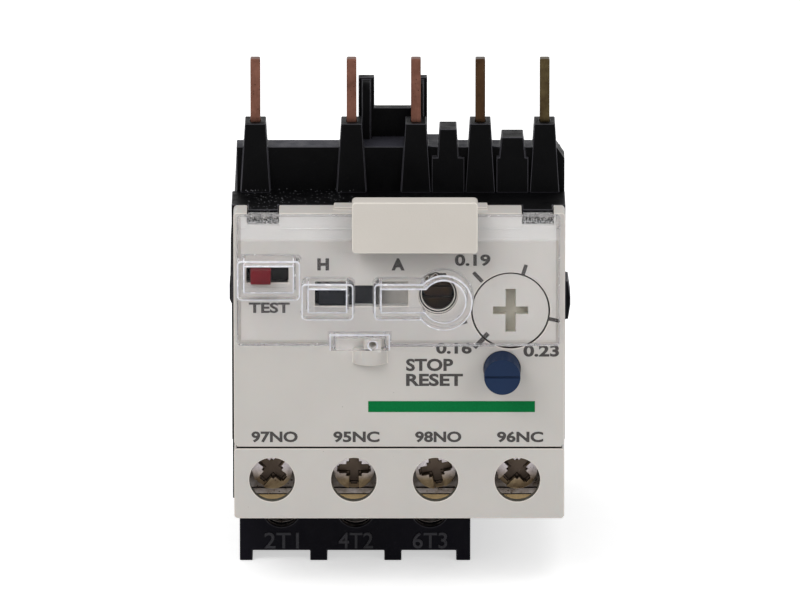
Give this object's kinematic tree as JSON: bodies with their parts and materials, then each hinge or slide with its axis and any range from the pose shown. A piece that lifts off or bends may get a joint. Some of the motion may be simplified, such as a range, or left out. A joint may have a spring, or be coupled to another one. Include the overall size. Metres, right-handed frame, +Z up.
{
  "type": "thermal overload relay",
  "caption": "Plug-in thermal overload relay: black case with bimetal heaters, cream front with setting dial, reset button, selector and hinged clear cover.",
  "frame": {"origin": "centre of the bounding box on the plane of the feet", "axes": "+X to the right seen from the front, +Y from the front panel towards the back, +Z up towards the prongs"},
  "size_m": [0.045, 0.065, 0.0698],
  "materials": {
    "black_plastic": "fine moulded grain",
    "cream_plastic": "satin moulded",
    "marker_plastic": "satin moulded",
    "clear_plastic": "polished polycarbonate",
    "blue_plastic": "semi-gloss moulded",
    "red_plastic": "semi-gloss moulded",
    "dark_plastic": "satin moulded",
    "copper": "bare copper strip",
    "brass": "bare brass",
    "plated_steel": "zinc plated",
    "silver": "contact silver",
    "heater_wire": "drawn wire",
    "bimetal": "rolled strip",
    "glass_sleeve": "woven glass braid"
  },
  "bodies": {
    "base": {"base_housing": "black_plastic", "rear_cover": "black_plastic", "case_screws": "plated_steel", "load_terminal_block": "black_plastic", "prong_carrier": "black_plastic", "contactor_hook": "black_plastic", "front_cover": "cream_plastic", "cover_hinge_pins": "plated_steel", "lower_terminal_cover": "cream_plastic", "slide_guide": "cream_plastic", "calibration_screw": "brass", "fixed_contacts": "silver", "lever_pin": "plated_steel", "mechanism_frame": "cream_plastic", "bimetal_strips": "bimetal", "heater_sleeves": "glass_sleeve", "heater_coils": "heater_wire", "reset_spring": "plated_steel", "snap_spring": "plated_steel", "power_prong_1": "copper", "load_busbar_1": "brass", "power_prong_2": "copper", "load_busbar_2": "brass", "power_prong_3": "copper", "load_busbar_3": "brass", "control_prong_1": "brass", "control_prong_2": "brass", "control_terminal_1": "brass", "control_terminal_2": "brass", "control_terminal_3": "brass", "control_terminal_4": "brass"},
    "hinged_cover": {"clear_cover": "clear_plastic", "marker_holder": "marker_plastic"},
    "dial": {"setting_dial": "cream_plastic"},
    "follower": {"setting_follower": "brass"},
    "reset": {"reset_button": "blue_plastic"},
    "test": {"test_slider": "red_plastic"},
    "selector": {"selector_slide": "dark_plastic"},
    "trip_bars": {"push_bar": "dark_plastic", "pull_bar": "dark_plastic", "differential_lever": "dark_plastic"},
    "lever": {"trip_lever": "bimetal"},
    "contact_carriage": {"contact_carrier": "black_plastic", "nc_bridge": "brass", "no_bridge": "brass", "moving_contacts": "silver"},
    "load_clamp_1_body": {"load_clamp_1": "plated_steel"},
    "load_screw_1_body": {"load_screw_1": "plated_steel"},
    "load_clamp_2_body": {"load_clamp_2": "plated_steel"},
    "load_screw_2_body": {"load_screw_2": "plated_steel"},
    "load_clamp_3_body": {"load_clamp_3": "plated_steel"},
    "load_screw_3_body": {"load_screw_3": "plated_steel"},
    "control_clamp_1_body": {"control_clamp_1": "plated_steel"},
    "control_screw_1_body": {"control_screw_1": "plated_steel"},
    "control_clamp_2_body": {"control_clamp_2": "plated_steel"},
    "control_screw_2_body": {"control_screw_2": "plated_steel"},
    "control_clamp_3_body": {"control_clamp_3": "plated_steel"},
    "control_screw_3_body": {"control_screw_3": "plated_steel"},
    "control_clamp_4_body": {"control_clamp_4": "plated_steel"},
    "control_screw_4_body": {"control_screw_4": "plated_steel"}
  },
  "joints": [
    {"name": "cover_hinge", "type": "hinge", "parent": "base", "child": "hinged_cover", "pos_m": [0, -0.0277, 0.0515], "axis": [-1, 0, 0], "range_deg": [0, 95]},
    {"name": "dial_turn", "type": "hinge", "parent": "base", "child": "dial", "pos_m": [0.01455, -0.0282, 0.03886], "axis": [0, 1, 0], "range_deg": [0, 286]},
    {"name": "follower_slide", "type": "slide", "parent": "base", "child": "follower", "axis": [-1, 0, 0], "range_m": [0, 0.0012]},
    {"name": "reset_press", "type": "slide", "parent": "base", "child": "reset", "axis": [0, 1, 0], "range_m": [0, 0.0025], "stiffness_N_per_m": 800, "springref_m": -0.0025, "deforming": ["reset_spring"]},
    {"name": "selector_slide", "type": "slide", "parent": "base", "child": "selector", "axis": [1, 0, 0], "range_m": [0, 0.0044]},
    {"name": "trip_slide", "type": "slide", "parent": "base", "child": "trip_bars", "axis": [1, 0, 0], "range_m": [0, 0.0016], "stiffness_N_per_m": 120},
    {"name": "lever_turn", "type": "hinge", "parent": "base", "child": "lever", "pos_m": [0.0179, -0.0196, 0.0298], "axis": [0, 0, -1], "range_deg": [0, 19.1]},
    {"name": "contact_slide", "type": "slide", "parent": "base", "child": "contact_carriage", "axis": [1, 0, 0], "range_m": [0, 0.0011], "deforming": ["snap_spring"]},
    {"name": "test_slide", "type": "slide", "parent": "base", "child": "test", "axis": [1, 0, 0], "range_m": [0, 0.0021]},
    {"name": "load_clamp_1_slide", "type": "slide", "parent": "base", "child": "load_clamp_1_body", "axis": [0, -1, 0], "range_m": [0, 0.0022]},
    {"name": "load_screw_1_turn", "type": "hinge", "parent": "load_clamp_1_body", "child": "load_screw_1_body", "pos_m": [-0.0158, -0.0048, 0.0071], "axis": [0, -1, 0], "range_deg": [0, 1320]},
    {"name": "load_clamp_2_slide", "type": "slide", "parent": "base", "child": "load_clamp_2_body", "axis": [0, -1, 0], "range_m": [0, 0.0022]},
    {"name": "load_screw_2_turn", "type": "hinge", "parent": "load_clamp_2_body", "child": "load_screw_2_body", "pos_m": [-0.0059, -0.0048, 0.0071], "axis": [0, -1, 0], "range_deg": [0, 1320]},
    {"name": "load_clamp_3_slide", "type": "slide", "parent": "base", "child": "load_clamp_3_body", "axis": [0, -1, 0], "range_m": [0, 0.0022]},
    {"name": "load_screw_3_turn", "type": "hinge", "parent": "load_clamp_3_body", "child": "load_screw_3_body", "pos_m": [0.004, -0.0048, 0.0071], "axis": [0, -1, 0], "range_deg": [0, 1320]},
    {"name": "control_clamp_1_slide", "type": "slide", "parent": "base", "child": "control_clamp_1_body", "axis": [0, -1, 0], "range_m": [0, 0.002]},
    {"name": "control_screw_1_turn", "type": "hinge", "parent": "control_clamp_1_body", "child": "control_screw_1_body", "pos_m": [-0.0169, -0.0196, 0.0157], "axis": [0, -1, 0], "range_deg": [0, 1440]},
    {"name": "control_clamp_2_slide", "type": "slide", "parent": "base", "child": "control_clamp_2_body", "axis": [0, -1, 0], "range_m": [0, 0.002]},
    {"name": "control_screw_2_turn", "type": "hinge", "parent": "control_clamp_2_body", "child": "control_screw_2_body", "pos_m": [-0.0061, -0.0196, 0.0157], "axis": [0, -1, 0], "range_deg": [0, 1440]},
    {"name": "control_clamp_3_slide", "type": "slide", "parent": "base", "child": "control_clamp_3_body", "axis": [0, -1, 0], "range_m": [0, 0.002]},
    {"name": "control_screw_3_turn", "type": "hinge", "parent": "control_clamp_3_body", "child": "control_screw_3_body", "pos_m": [0.0047, -0.0196, 0.0157], "axis": [0, -1, 0], "range_deg": [0, 1440]},
    {"name": "control_clamp_4_slide", "type": "slide", "parent": "base", "child": "control_clamp_4_body", "axis": [0, -1, 0], "range_m": [0, 0.002]},
    {"name": "control_screw_4_turn", "type": "hinge", "parent": "control_clamp_4_body", "child": "control_screw_4_body", "pos_m": [0.0155, -0.0196, 0.0157], "axis": [0, -1, 0], "range_deg": [0, 1440]}
  ],
  "couplings": [
    {"joint": "dial_turn", "follows": "follower_slide", "rad_per_m": 4159.3},
    {"joint": "lever_turn", "follows": "trip_slide", "rad_per_m": 208.33},
    {"joint": "contact_slide", "follows": "trip_slide", "ratio": 0.6875},
    {"joint": "test_slide", "follows": "trip_slide", "ratio": 1.3125},
    {"joint": "load_screw_1_turn", "follows": "load_clamp_1_slide", "rad_per_m": 10471},
    {"joint": "load_screw_2_turn", "follows": "load_clamp_2_slide", "rad_per_m": 10471},
    {"joint": "load_screw_3_turn", "follows": "load_clamp_3_slide", "rad_per_m": 10471},
    {"joint": "control_screw_1_turn", "follows": "control_clamp_1_slide", "rad_per_m": 12565},
    {"joint": "control_screw_2_turn", "follows": "control_clamp_2_slide", "rad_per_m": 12565},
    {"joint": "control_screw_3_turn", "follows": "control_clamp_3_slide", "rad_per_m": 12565},
    {"joint": "control_screw_4_turn", "follows": "control_clamp_4_slide", "rad_per_m": 12565}
  ]
}
